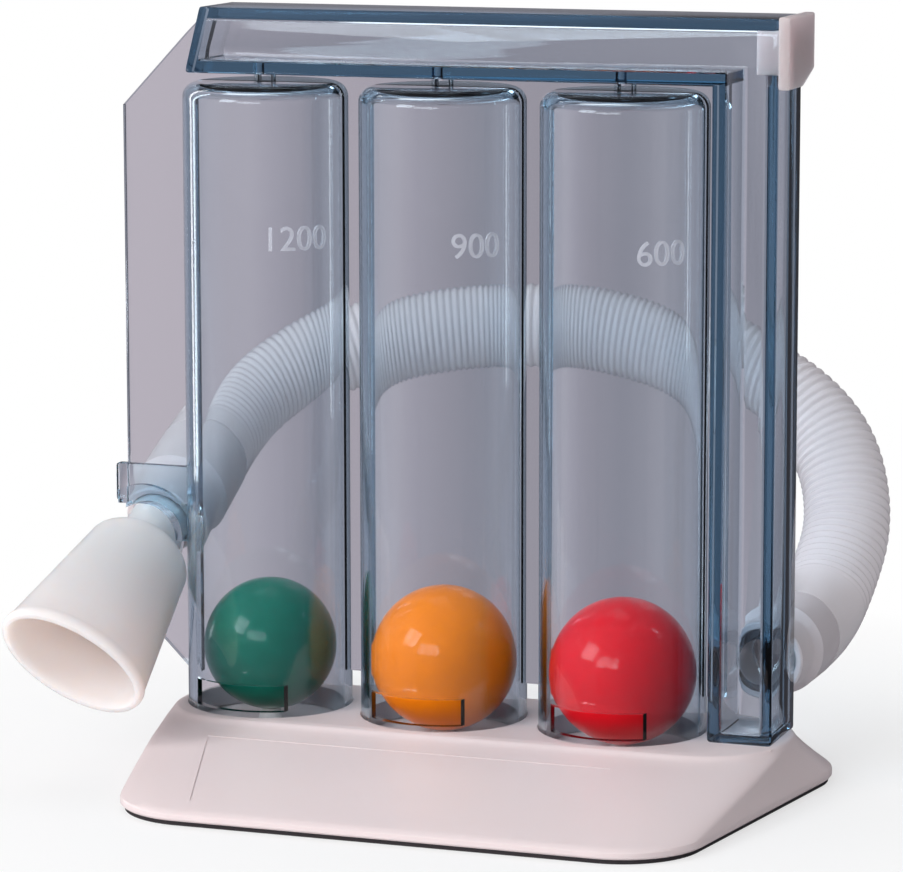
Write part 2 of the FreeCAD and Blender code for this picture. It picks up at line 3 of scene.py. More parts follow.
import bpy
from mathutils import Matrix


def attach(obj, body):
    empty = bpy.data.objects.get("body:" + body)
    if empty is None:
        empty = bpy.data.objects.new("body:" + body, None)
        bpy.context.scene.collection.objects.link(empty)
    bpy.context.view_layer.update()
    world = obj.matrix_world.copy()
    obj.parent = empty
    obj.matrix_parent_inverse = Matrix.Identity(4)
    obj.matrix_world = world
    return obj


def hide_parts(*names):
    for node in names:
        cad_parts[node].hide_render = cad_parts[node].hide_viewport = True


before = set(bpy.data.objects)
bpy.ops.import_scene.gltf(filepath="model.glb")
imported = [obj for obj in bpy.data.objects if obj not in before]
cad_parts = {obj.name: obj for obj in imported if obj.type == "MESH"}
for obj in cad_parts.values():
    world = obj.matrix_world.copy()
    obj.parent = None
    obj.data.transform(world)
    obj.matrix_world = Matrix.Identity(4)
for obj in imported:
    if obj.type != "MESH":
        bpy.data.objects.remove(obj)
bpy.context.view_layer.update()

import math

import bmesh
import bpy
from mathutils import Matrix, Vector

# Camera: the photograph's own viewing angle, from the right of the object and a little above it.
# Its lens is long, since the photograph's upright edges hardly lean.
camera_data = bpy.data.cameras.new("camera")
camera_data.sensor_width = 36
camera_data.lens = 169.95
camera_data.clip_start = 0.01
camera = bpy.data.objects.new("camera", camera_data)
bpy.context.scene.collection.objects.link(camera)
camera_right = Vector((0.941988, 0.335645, -0.001283))
camera_up = Vector((-0.052878, 0.152175, 0.986938))
camera_back = Vector((0.331456, -0.929616, 0.161095))
camera.matrix_world = Matrix((camera_right, camera_up, camera_back)).transposed().to_4x4()
camera.location = (0.245471, -0.684411, 0.176682)
bpy.context.scene.camera = camera
bpy.context.scene.view_settings.view_transform = "Standard"

# Hose: blown translucent plastic with fine rings, smooth at both ends where it is bonded into its sleeves.
# It leaves the port on the back of the duct, climbs, passes behind the tubes and comes down
# to the mouthpiece.
hose_route = [
    (0.0553, 0.0300, 0.0207), (0.0553, 0.0415, 0.0207), (0.0562, 0.0520, 0.0266),
    (0.0570, 0.0610, 0.0360), (0.0528, 0.0680, 0.0478), (0.0436, 0.0720, 0.0560),
    (0.0306, 0.0730, 0.0621), (0.0152, 0.0720, 0.0661), (-0.0025, 0.0700, 0.0686),
    (-0.0215, 0.0640, 0.0676), (-0.0395, 0.0570, 0.0645), (-0.0515, 0.0480, 0.0582),
    (-0.0566, 0.0375, 0.0520), (-0.0562, 0.0259, 0.0473)]
hose_radius = 0.0080
ring_pitch = 0.00165
ring_depth = 0.00042
smooth_start = 0.017
smooth_end = 0.004
route_curve = bpy.data.curves.new("hose_route", "CURVE")
route_curve.dimensions = "3D"
route_curve.resolution_u = 32
route_spline = route_curve.splines.new("NURBS")
route_spline.points.add(len(hose_route) - 1)
for point, place in zip(route_spline.points, hose_route):
    point.co = (*place, 1)
route_spline.order_u = 3
route_spline.use_endpoint_u = True
route_object = bpy.data.objects.new("hose_route", route_curve)
bpy.context.scene.collection.objects.link(route_object)
route_mesh = bpy.data.meshes.new_from_object(route_object)
route_points = [vertex.co.copy() for vertex in route_mesh.vertices]
bpy.data.objects.remove(route_object)


def walked(points, step):
    """points at an even step along a line of points, and how far along each one is"""
    places = [points[0].copy()]
    marks = [0.0]
    along = 0.0
    due = step
    for before, after in zip(points, points[1:]):
        run = (after - before).length
        while run > 0 and due <= along + run:
            places.append(before.lerp(after, (due - along) / run))
            marks.append(due)
            due += step
        along += run
    return places, marks, along


def clean_faces(mesh):
    """merges doubles and turns every face outwards"""
    work = bmesh.new()
    work.from_mesh(mesh)
    bmesh.ops.remove_doubles(work, verts=work.verts, dist=1e-7)
    bmesh.ops.recalc_face_normals(work, faces=work.faces)
    work.to_mesh(mesh)
    work.free()


hose_places, hose_marks, hose_length = walked(route_points, ring_pitch / 6)
hose_work = bmesh.new()
hose_rings = []
side = Vector((1, 0, 0))
sides_round = 48
for number, (place, mark) in enumerate(zip(hose_places, hose_marks)):
    ahead = hose_places[min(number + 1, len(hose_places) - 1)]
    behind = hose_places[max(number - 1, 0)]
    along = (ahead - behind).normalized()
    side = (side - along * side.dot(along)).normalized()
    other = along.cross(side)
    ends = min(mark - smooth_start, hose_length - mark - smooth_end)
    strength = max(0.0, min(1.0, ends / 0.003))
    wave = 0.5 - 0.5 * math.cos(2 * math.pi * mark / ring_pitch)
    radius = hose_radius - 0.0001 - ring_depth * strength * wave ** 1.6
    ring = []
    for k in range(sides_round):
        angle = 2 * math.pi * k / sides_round
        ring.append(hose_work.verts.new(place + (side * math.cos(angle) + other * math.sin(angle)) * radius))
    hose_rings.append(ring)
for first, second in zip(hose_rings, hose_rings[1:]):
    for k in range(sides_round):
        after = (k + 1) % sides_round
        hose_work.faces.new((first[k], first[after], second[after], second[k]))
hose_work.faces.new(hose_rings[0])
hose_work.faces.new(hose_rings[-1])
for face in hose_work.faces:
    face.smooth = len(face.verts) == 4
hose_mesh = bpy.data.meshes.new("hose_tube")
hose_work.to_mesh(hose_mesh)
hose_work.free()
clean_faces(hose_mesh)
hose = bpy.data.objects.new("hose_tube", hose_mesh)
bpy.context.scene.collection.objects.link(hose)


def new_material(name, colour, roughness):
    """a principled material of one colour, with the parts of its node tree"""
    material = bpy.data.materials.new(name)
    material.use_nodes = True
    tree = material.node_tree
    shader = tree.nodes["Principled BSDF"]
    shader.inputs["Base Color"].default_value = (*colour, 1)
    shader.inputs["Roughness"].default_value = roughness
    return material, tree, shader


def grain_group():
    """soft unevenness of a moulded surface: a tone that drifts a little, and a bump as of fine orange peel"""
    group = bpy.data.node_groups.new("moulded_grain", "ShaderNodeTree")
    for name, kind, value in (("Color", "NodeSocketColor", (1, 1, 1, 1)), ("Drift", "NodeSocketFloat", 0.03),
                              ("Scale", "NodeSocketFloat", 400.0), ("Depth", "NodeSocketFloat", 0.05)):
        socket = group.interface.new_socket(name=name, in_out="INPUT", socket_type=kind)
        socket.default_value = value
    group.interface.new_socket(name="Color", in_out="OUTPUT", socket_type="NodeSocketColor")
    group.interface.new_socket(name="Normal", in_out="OUTPUT", socket_type="NodeSocketVector")
    nodes = group.nodes
    links = group.links
    given = nodes.new("NodeGroupInput")
    result = nodes.new("NodeGroupOutput")
    place = nodes.new("ShaderNodeTexCoord")
    slow = nodes.new("ShaderNodeTexNoise")
    slow.inputs["Scale"].default_value = 45
    links.new(place.outputs["Object"], slow.inputs["Vector"])
    fine = nodes.new("ShaderNodeTexNoise")
    links.new(place.outputs["Object"], fine.inputs["Vector"])
    links.new(given.outputs["Scale"], fine.inputs["Scale"])
    centred = nodes.new("ShaderNodeMath")
    centred.operation = "SUBTRACT"
    centred.inputs[1].default_value = 0.5
    links.new(slow.outputs["Fac"], centred.inputs[0])
    share = nodes.new("ShaderNodeMath")
    share.operation = "MULTIPLY"
    links.new(centred.outputs[0], share.inputs[0])
    links.new(given.outputs["Drift"], share.inputs[1])
    level = nodes.new("ShaderNodeMath")
    level.operation = "ADD"
    level.inputs[1].default_value = 1
    links.new(share.outputs[0], level.inputs[0])
    tone = nodes.new("ShaderNodeHueSaturation")
    links.new(given.outputs["Color"], tone.inputs["Color"])
    links.new(level.outputs[0], tone.inputs["Value"])
    links.new(tone.outputs["Color"], result.inputs["Color"])
    bump = nodes.new("ShaderNodeBump")
    bump.inputs["Distance"].default_value = 0.0001
    links.new(given.outputs["Depth"], bump.inputs["Strength"])
    links.new(fine.outputs["Fac"], bump.inputs["Height"])
    links.new(bump.outputs["Normal"], result.inputs["Normal"])
    return group


moulded_grain = grain_group()


def grained_material(name, colour, roughness, drift, scale, depth):
    """a principled material with the moulded grain before its colour and normal, and its shader"""
    material, tree, shader = new_material(name, colour, roughness)
    node = tree.nodes.new("ShaderNodeGroup")
    node.node_tree = moulded_grain
    node.inputs["Color"].default_value = (*colour, 1)
    node.inputs["Drift"].default_value = drift
    node.inputs["Scale"].default_value = scale
    node.inputs["Depth"].default_value = depth
    tree.links.new(node.outputs["Color"], shader.inputs["Base Color"])
    tree.links.new(node.outputs["Normal"], shader.inputs["Normal"])
    return material, shader


def let_light_in(shader, weight, radius):
    """lets light scatter under a translucent surface, as deep as the radius in metres"""
    shader.inputs["Subsurface Weight"].default_value = weight
    shader.inputs["Subsurface Radius"].default_value = radius
    shader.inputs["Subsurface Scale"].default_value = 1


hose_material, hose_shader = grained_material("hose_plastic", (0.78, 0.72, 0.74), 0.22, 0.06, 500, 0.05)
hose_shader.inputs["Alpha"].default_value = 0.76
hose_shader.inputs["IOR"].default_value = 1.45
hose.data.materials.append(hose_material)
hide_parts("hose")
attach(hose, "stand")


def tidy(piece, angle):
    """shades a piece smooth up to an angle, after closing and turning its faces"""
    clean_faces(piece.data)
    bpy.ops.object.select_all(action="DESELECT")
    piece.select_set(True)
    bpy.context.view_layer.objects.active = piece
    bpy.ops.object.shade_smooth_by_angle(angle=math.radians(angle))


def turned(name, stages, vertices=96):
    """a piece drawn up from a ring: each stage is a height and the ring's two half widths, all in metres"""
    bpy.ops.object.select_all(action="DESELECT")
    height, wide, deep = stages[0]
    bpy.ops.mesh.primitive_circle_add(vertices=vertices, radius=1, location=(0, 0, 0))
    piece = bpy.context.object
    piece.name = name
    piece.data.name = name
    bpy.ops.object.mode_set(mode="EDIT")
    bpy.ops.mesh.select_all(action="SELECT")
    bpy.ops.transform.resize(value=(wide, deep, 1), center_override=(0, 0, 0))
    bpy.ops.transform.translate(value=(0, 0, height))
    for next_height, next_wide, next_deep in stages[1:]:
        bpy.ops.mesh.extrude_region_move(TRANSFORM_OT_translate={"value": (0, 0, next_height - height)})
        bpy.ops.transform.resize(value=(next_wide / wide, next_deep / deep, 1),
                                 center_override=(0, 0, next_height))
        height, wide, deep = next_height, next_wide, next_deep
    bpy.ops.object.mode_set(mode="OBJECT")
    return piece


def closed_stages(outside, inside):
    """one run of stages up the outside and back down the inside, ending where it began"""
    return outside + inside[::-1] + outside[:1]


# Hose sleeves: soft moulded collars, a narrow socket on the spigot and a wide end round the hose.
# One sits on the duct's port, the other on the back of the mouthpiece.
spout_axis = Vector((0.03236, -0.92662, -0.37461))
spout_point = Vector((-0.0553, 0.0, 0.0368))
spout_turn = (Matrix.Rotation(math.radians(2), 4, "Z") @ Matrix.Rotation(math.radians(112), 4, "X")
              @ Matrix.Rotation(math.radians(-34), 4, "Z"))


def sleeve(name, spigot_radius, start, length, socket_end, matrix):
    """one sleeve, drawn up its own Z axis and then placed"""
    inner = spigot_radius + 0.00008
    outer = spigot_radius + 0.0013
    wide = 0.0080
    neck = start + 0.008
    end = start + length
    outside = [(start, inner + 0.0002, inner + 0.0002), (start, outer - 0.0003, outer - 0.0003),
               (start + 0.0003, outer, outer), (neck - 0.001, outer, outer),
               (neck, outer + 0.0003, outer + 0.0003), (neck + (wide - outer), wide, wide),
               (end - 0.0004, wide, wide), (end, wide - 0.0004, wide - 0.0004)]
    inside = [(start + 0.0002, inner, inner), (socket_end, inner, inner),
              (socket_end, wide - 0.0013, wide - 0.0013), (end, wide - 0.0011, wide - 0.0011)]
    piece = turned(name, closed_stages(outside, inside))
    piece.data.transform(matrix)
    tidy(piece, 35)
    return piece


port_place = Matrix.Translation((0.0553, 0.0085, 0.0207)) @ Matrix.Rotation(math.radians(-90), 4, "X")
port_sleeve = sleeve("hose_port_sleeve", 0.0054, 0.0005, 0.021, 0.0105, port_place)
mouth_place = Matrix.Translation(spout_point) @ spout_turn @ Matrix.Rotation(math.radians(180), 4, "X")
mouth_sleeve = sleeve("hose_mouth_sleeve", 0.0055, 0.006, 0.022, 0.0185, mouth_place)
sleeve_material, sleeve_shader = grained_material("sleeve_rubber", (0.62, 0.57, 0.59), 0.38, 0.08, 700, 0.12)
let_light_in(sleeve_shader, 0.15, (0.002, 0.0015, 0.0015))
for piece, node in ((port_sleeve, "hose_port_cuff"), (mouth_sleeve, "hose_mouth_cuff")):
    piece.data.materials.append(sleeve_material)
    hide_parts(node)
    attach(piece, "stand")

# Mouthpiece: one moulding of pinkish white plastic, a flattened funnel with a round spigot behind it.
# The spigot lies in the notch of the wing and pushes into the hose's sleeve.
spout_outside = [(-0.018, 0.0051, 0.0051), (-0.0176, 0.0055, 0.0055), (0.0034, 0.0055, 0.0055)]
for step in range(9):
    rise = math.sin(math.pi * step / 16)
    forward = 1 - math.cos(math.pi * step / 16)
    spout_outside.append((0.0038 + 0.0042 * forward, 0.0055 + 0.0041 * rise, 0.0055 + 0.0016 * rise))
for step in range(1, 7):
    share = step / 6
    spout_outside.append((0.0080 + 0.0295 * share, 0.0096 + 0.0036 * share, 0.0071 + 0.0003 * share))
spout_outside += [(0.0381, 0.01335, 0.00755), (0.0388, 0.01355, 0.00775), (0.0395, 0.01355, 0.00775),
                  (0.0402, 0.01335, 0.00755), (0.0405, 0.0130, 0.0072)]
spout_inside = [(-0.018, 0.0043, 0.0043), (0.0050, 0.0042, 0.0042)]
for step in range(1, 9):
    rise = math.sin(math.pi * step / 16)
    forward = 1 - math.cos(math.pi * step / 16)
    spout_inside.append((0.0057 + 0.0042 * forward, 0.0042 + 0.0044 * rise, 0.0042 + 0.0015 * rise))
spout_inside += [(0.0275, 0.0105, 0.0060), (0.0385, 0.0119, 0.0061), (0.0402, 0.0121, 0.0063),
                 (0.0405, 0.0124, 0.0066)]
mouthpiece = turned("mouthpiece_funnel", closed_stages(spout_outside, spout_inside), 128)
mouthpiece.data.transform(Matrix.Translation(spout_point) @ spout_turn)
tidy(mouthpiece, 40)
mouthpiece_material, mouthpiece_shader = grained_material(
    "mouthpiece_plastic", (0.86, 0.73, 0.71), 0.3, 0.05, 600, 0.04)
let_light_in(mouthpiece_shader, 1, (0.008, 0.006, 0.005))
mouthpiece_shader.inputs["Coat Weight"].default_value = 0.25
mouthpiece_shader.inputs["Coat Roughness"].default_value = 0.15
mouthpiece.data.materials.append(mouthpiece_material)
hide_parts("mouthpiece")
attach(mouthpiece, "spout")

# Base: pinkish white moulding with an upright lip, four slopes and a flat deck with a socket for each tube.
# A thin pad on its right carries the foot of the duct.


def rounded_loop(work, middle, front, back, front_half, back_half, radius, height):
    """a closed loop of vertices round a base outline with rounded corners"""
    corners = [Vector((middle - front_half, -front, height)), Vector((middle + front_half, -front, height)),
               Vector((middle + back_half, back, height)), Vector((middle - back_half, back, height))]
    loop = []
    for k in range(4):
        corner = corners[k]
        before = (corners[k - 1] - corner).normalized()
        after = (corners[(k + 1) % 4] - corner).normalized()
        half = before.angle(after) / 2
        centre = corner + (before + after).normalized() * (radius / math.sin(half))
        start = corner + before * (radius / math.tan(half)) - centre
        end = corner + after * (radius / math.tan(half)) - centre
        sweep = start.angle(end)
        for step in range(13):
            turn = Matrix.Rotation(sweep * step / 12, 3, "Z")
            loop.append(work.verts.new(centre + turn @ start))
    return loop


base_foot = (0.0090, 0.0562, 0.0220, 0.0489, 0.0608, 0.0145, 0.0022)
base_shoulder = (0.0069, 0.0174, 0.0166, 0.0560, 0.0552, 0.0146, 0.0084)
base_levels = [
    (0.0090, 0.0559, 0.0217, 0.0486, 0.0605, 0.0142, 0.0008),
    (0.0090, 0.0562, 0.0220, 0.0489, 0.0608, 0.0145, 0.0011),
    (0.0090, 0.0562, 0.0220, 0.0489, 0.0608, 0.0145, 0.0019)]
for share, sink in ((0.01, 0.00005), (0.06, 0), (0.3, 0), (0.6, 0), (0.9, 0.0001), (0.97, 0.0001)):
    level = [low + (high - low) * share for low, high in zip(base_foot, base_shoulder)]
    base_levels.append((*level[:6], level[6] - sink))
base_levels += [(0.0069, 0.0172, 0.0164, 0.0558, 0.0550, 0.0144, 0.00862),
                (0.0069, 0.0169, 0.0161, 0.0555, 0.0547, 0.0141, 0.00886),
                (0.0069, 0.0164, 0.0156, 0.0550, 0.0542, 0.0136, 0.0090)]
base_work = bmesh.new()
base_loops = [rounded_loop(base_work, *level) for level in base_levels]
for first, second in zip(base_loops, base_loops[1:]):
    for k in range(len(first)):
        after = (k + 1) % len(first)
        base_work.faces.new((first[k], first[after], second[after], second[k]))
base_work.faces.new(base_loops[0])
base_work.faces.new(base_loops[-1])
base_mesh = bpy.data.meshes.new("base_cover")
base_work.to_mesh(base_mesh)
base_work.free()
base = bpy.data.objects.new("base_cover", base_mesh)
bpy.context.scene.collection.objects.link(base)
clean_faces(base_mesh)


def block(name, low, high, rounding=0.0, segments=3):
    """a box between two corners, with its edges rounded"""
    bpy.ops.object.select_all(action="DESELECT")
    bpy.ops.mesh.primitive_cube_add(size=1, location=(0, 0, 0))
    piece = bpy.context.object
    piece.name = name
    size = Vector(high) - Vector(low)
    piece.data.transform(Matrix.Translation((Vector(low) + Vector(high)) / 2) @ Matrix.Diagonal((*size, 1)))
    if rounding:
        bpy.ops.object.mode_set(mode="EDIT")
        bpy.ops.mesh.select_all(action="SELECT")
        bpy.ops.mesh.bevel(offset=rounding, segments=segments, affect="EDGES")
        bpy.ops.object.mode_set(mode="OBJECT")
    return piece


def rod(name, centre, radius, low, high, axis="Z", rounding=0.0, vertices=96):
    """a round bar between two heights on its axis, its high end rounded"""
    bpy.ops.object.select_all(action="DESELECT")
    bpy.ops.mesh.primitive_cylinder_add(vertices=vertices, radius=radius, depth=high - low,
                                        location=(0, 0, 0))
    piece = bpy.context.object
    piece.name = name
    piece.data.transform(Matrix.Translation((0, 0, (low + high) / 2)))
    if rounding:
        work = bmesh.new()
        work.from_mesh(piece.data)
        rim = [edge for edge in work.edges if min(vertex.co.z for vertex in edge.verts) > high - 1e-6]
        bmesh.ops.bevel(work, geom=rim, offset=rounding, segments=8, profile=0.5, affect="EDGES")
        work.to_mesh(piece.data)
        work.free()
    if axis == "Y":
        piece.data.transform(Matrix.Rotation(math.radians(-90), 4, "X"))
    piece.data.transform(Matrix.Translation(centre))
    return piece


def combine(piece, other, operation):
    """joins another solid to a piece or cuts it away, and removes it"""
    bpy.ops.object.select_all(action="DESELECT")
    piece.select_set(True)
    bpy.context.view_layer.objects.active = piece
    boolean = piece.modifiers.new("combine", "BOOLEAN")
    boolean.operation = operation
    boolean.solver = "EXACT"
    boolean.object = other
    bpy.ops.object.modifier_apply(modifier=boolean.name)
    bpy.data.objects.remove(other)


tube_middles = (-0.0326, 0.0, 0.0326)
tube_radius = 0.0145
combine(base, block("duct_pad", (0.04895, -0.0082, 0.0022), (0.06135, 0.0021, 0.00898), 0.0003), "UNION")
recess_work = bmesh.new()
recess_corners = [(-0.0349, -0.0232, 0.00747), (-0.0268, -0.0504, 0.00313),
                  (0.0316, -0.0504, 0.00313), (0.0377, -0.0232, 0.00747)]
recess_depth = 0.00015
floor_loop, open_loop = [[recess_work.verts.new((x, y, height + lift)) for x, y, height in recess_corners]
                         for lift in (-recess_depth, 0.0010)]
for k in range(4):
    recess_work.faces.new((floor_loop[k], floor_loop[k - 3], open_loop[k - 3], open_loop[k]))
recess_work.faces.new(floor_loop)
recess_work.faces.new(open_loop)
recess_mesh = bpy.data.meshes.new("recess")
recess_work.to_mesh(recess_mesh)
recess_work.free()
clean_faces(recess_mesh)
recess = bpy.data.objects.new("recess", recess_mesh)
bpy.context.scene.collection.objects.link(recess)
combine(base, recess, "DIFFERENCE")
for middle in tube_middles:
    combine(base, rod("socket", (middle, 0, 0), tube_radius + 0.00015, 0.0055, 0.0100), "DIFFERENCE")
tidy(base, 32)
base_material, base_shader = grained_material("base_plastic", (0.76, 0.65, 0.65), 0.4, 0.03, 900, 0.06)
let_light_in(base_shader, 0.1, (0.002, 0.0015, 0.0015))
base.data.materials.append(base_material)
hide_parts("base_shell")
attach(base, "stand")

# Mat: thin foam sheet under the base, cut to its outline and glued to it.
# Its near-black colour is painted shade: only its edge shows, as the dark line of shadow along the foot of
# the base.
# near-black colour painted as the shadow line under the base
mat_shade_material, mat_shade_shader = grained_material("mat_painted_shade", (0.035, 0.03, 0.033), 0.9, 0.3, 1500, 0.6)
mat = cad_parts["base_mat"]
mat.data.materials.clear()
mat.data.materials.append(mat_shade_material)

# Ball stops: small tapered posts of pale plastic, moulded in the sockets of the base.
# Each holds its ball off the floor of the tube, so that air can reach it.
stop_material, stop_shader = grained_material("stop_plastic", (0.80, 0.77, 0.76), 0.35, 0.05, 900, 0.05)
for colour in ("green", "yellow", "red"):
    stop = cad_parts["ball_stop_" + colour]
    stop.data.materials.clear()
    stop.data.materials.append(stop_material)

# Balls: hollow glossy floats, one in each tube, which rise with the breath.
# Each is welded from two halves, so a faint seam runs round its middle.
for colour, middle, radius, height, shade in (
        ("green", -0.0326, 0.0117, 0.0193, (0.001, 0.120, 0.080)),
        ("yellow", 0.0, 0.0127, 0.0190, (0.84, 0.20, 0.004)),
        ("red", 0.0326, 0.0127, 0.0190, (0.68, 0.006, 0.014))):
    bpy.ops.object.select_all(action="DESELECT")
    bpy.ops.mesh.primitive_uv_sphere_add(segments=96, ring_count=64, radius=radius, location=(0, 0, 0))
    ball = bpy.context.object
    ball.name = "ball_" + colour + "_float"
    for vertex in ball.data.vertices:
        if abs(vertex.co.z) < radius * 0.03:
            vertex.co.x *= 0.9985
            vertex.co.y *= 0.9985
    ball.data.transform(Matrix.Translation((middle, 0, height)) @ Matrix.Rotation(math.radians(12), 4, "X"))
    bpy.ops.object.shade_smooth()
    ball_material, ball_shader = grained_material("ball_" + colour + "_plastic", shade, 0.32, 0.08, 300, 0.02)
    ball_shader.inputs["Specular IOR Level"].default_value = 0.08
    ball_shader.inputs["Coat Weight"].default_value = 0.4
    ball_shader.inputs["Coat Roughness"].default_value = 0.03
    ball.data.materials.append(ball_material)
    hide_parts("ball_" + colour)
    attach(ball, colour + "_float")

# Clear body: two blue-tinted mouldings bonded on one plane, so it is one piece here.
# It has three tubes with necks, webs between them, the header, the air duct with its port, and the wing.
bore_radius = 0.01315
notch_radius = 0.0063
notch_centre = (-0.0553, 0, 0.0372)
port_centre = (0.0553, 0, 0.0207)
body = block("clear_body", (-0.0593, -0.0009, 0.0130), (0.06085, 0.0009, 0.1315), 0.0002, 2)


def cut_off(piece, point, normal):
    """cuts away what lies beyond a plane and closes the cut"""
    bpy.ops.object.select_all(action="DESELECT")
    piece.select_set(True)
    bpy.context.view_layer.objects.active = piece
    bpy.ops.object.mode_set(mode="EDIT")
    bpy.ops.mesh.select_all(action="SELECT")
    bpy.ops.mesh.bisect(plane_co=point, plane_no=normal, use_fill=True, clear_outer=True, threshold=1e-8)
    bpy.ops.object.mode_set(mode="OBJECT")


cut_off(body, (-0.0593, 0, 0.1137), Vector((-0.0129, 0, 0.0122)))
cut_off(body, (-0.0471, 0, 0.1266), Vector((-0.0049, 0, 0.0050)))
cut_off(body, (-0.0593, 0, 0.0255), Vector((-0.0122, 0, -0.0122)))
combine(body, block("web_foot", (-0.0464, -0.0030, 0.0100), (0.0700, 0.0030, 0.0156)), "DIFFERENCE")
header = block("header", (-0.0450, -0.0066, 0.1201), (0.06085, 0.0085, 0.1315), 0.0005)
cut_off(header, (-0.0450, 0, 0.1201), Vector((-0.0114, 0, 0.0029)))
combine(header, block("duct", (0.04945, -0.0066, 0.0090), (0.06085, 0.0085, 0.1310), 0.0007), "UNION")
combine(body, header, "UNION")
for middle in tube_middles:
    combine(body, rod("tube", (middle, 0, 0), tube_radius, 0.0055, 0.1185, rounding=0.0026), "UNION")
    combine(body, rod("neck", (middle, 0, 0), 0.0020, 0.1180, 0.1210, vertices=48), "UNION")
combine(body, rod("port", port_centre, 0.0054, 0.0078, 0.0185, axis="Y", vertices=64), "UNION")
collar = rod("collar", notch_centre, 0.0097, -0.0036, -0.0002, axis="Y")
cut_off(collar, (0, 0, 0.0372), Vector((0, 0, -1)))
cut_off(collar, (-0.0600, 0, 0), Vector((-1, 0, 0)))
combine(body, collar, "UNION")
combine(body, block("tab", (-0.0610, -0.0024, 0.0436), (-0.0446, -0.0001, 0.0503), 0.0005), "UNION")
combine(body, rod("notch", notch_centre, notch_radius, -0.0070, 0.0030, axis="Y"), "DIFFERENCE")
combine(body, rod("slot_end", (-0.0553, 0, 0.0362), 0.0061, -0.0070, 0.0030, axis="Y"), "DIFFERENCE")
combine(body, block("slot", (-0.0655, -0.0070, 0.0300), (-0.0553, 0.0030, 0.0405)), "DIFFERENCE")
combine(body, block("slot_mouth", (-0.0655, -0.0070, 0.0400), (-0.0585, 0.0030, 0.0434)), "DIFFERENCE")
for middle in tube_middles:
    combine(body, rod("bore", (middle, 0, 0), bore_radius, 0.0050, 0.11715, rounding=0.0016), "DIFFERENCE")
hollow = block("hollow", (-0.0430, -0.0052, 0.1221), (0.06185, 0.0071, 0.1295), 0.0006)
cut_off(hollow, (-0.0430, 0, 0.1221), Vector((-0.0114, 0, 0.0029)))
combine(hollow, block("duct_hollow", (0.0514, -0.0052, 0.0105), (0.0589, 0.0071, 0.1290), 0.0008), "UNION")
combine(body, hollow, "DIFFERENCE")
for middle in tube_middles:
    combine(body, rod("vent", (middle, 0, 0), 0.0010, 0.1165, 0.1225, vertices=32), "DIFFERENCE")
    combine(body, block("window", (middle - 0.0092, -0.0290, 0.0099), (middle + 0.0075, -0.0001, 0.0145)),
            "DIFFERENCE")
combine(body, rod("port_bore", port_centre, 0.0040, 0.0065, 0.0195, axis="Y", vertices=64), "DIFFERENCE")
body.data.name = "clear_body"
tidy(body, 20)
clear_material, clear_tree, clear_shader = new_material("clear_plastic", (0.97, 0.975, 0.985), 0.03)
clear_shader.inputs["Transmission Weight"].default_value = 1
clear_shader.inputs["IOR"].default_value = 1.49
lets_light = clear_tree.nodes.new("ShaderNodeBsdfTransparent")
lets_light.inputs["Color"].default_value = (0.99, 0.975, 0.97, 1)
ray_kind = clear_tree.nodes.new("ShaderNodeLightPath")
shade_mix = clear_tree.nodes.new("ShaderNodeMixShader")
tint = clear_tree.nodes.new("ShaderNodeVolumeAbsorption")
tint.inputs["Color"].default_value = (0.22, 0.48, 0.62, 1)
tint.inputs["Density"].default_value = 180
clear_output = clear_tree.nodes["Material Output"]
clear_tree.links.new(ray_kind.outputs["Is Shadow Ray"], shade_mix.inputs[0])
clear_tree.links.new(clear_shader.outputs[0], shade_mix.inputs[1])
clear_tree.links.new(lets_light.outputs[0], shade_mix.inputs[2])
clear_tree.links.new(shade_mix.outputs[0], clear_output.inputs["Surface"])
clear_tree.links.new(tint.outputs[0], clear_output.inputs["Volume"])
body.data.materials.append(clear_material)
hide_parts("front_shell", "rear_shell")
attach(body, "stand")

# Header cap: translucent pinkish white moulding that closes the open right-hand end of the header.
# A plug behind its plate is pushed into the header, and the plate's lower back corner is cut off.
cap = block("header_cap", (0.06085, -0.0069, 0.1198), (0.06285, 0.0092, 0.1318), 0.0004)
cut_off(cap, (0, 0.0092, 0.1227), Vector((0, 0.0029, -0.0080)))
combine(cap, block("cap_plug", (0.05685, -0.00515, 0.12215), (0.0612, 0.00705, 0.12945), 0.0002), "UNION")
tidy(cap, 20)
cap_material, cap_shader = grained_material("cap_plastic", (0.46, 0.395, 0.40), 0.35, 0.08, 600, 0.08)
let_light_in(cap_shader, 1, (0.010, 0.008, 0.008))
cap.data.materials.append(cap_material)
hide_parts("header_end_cap")
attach(cap, "stand")

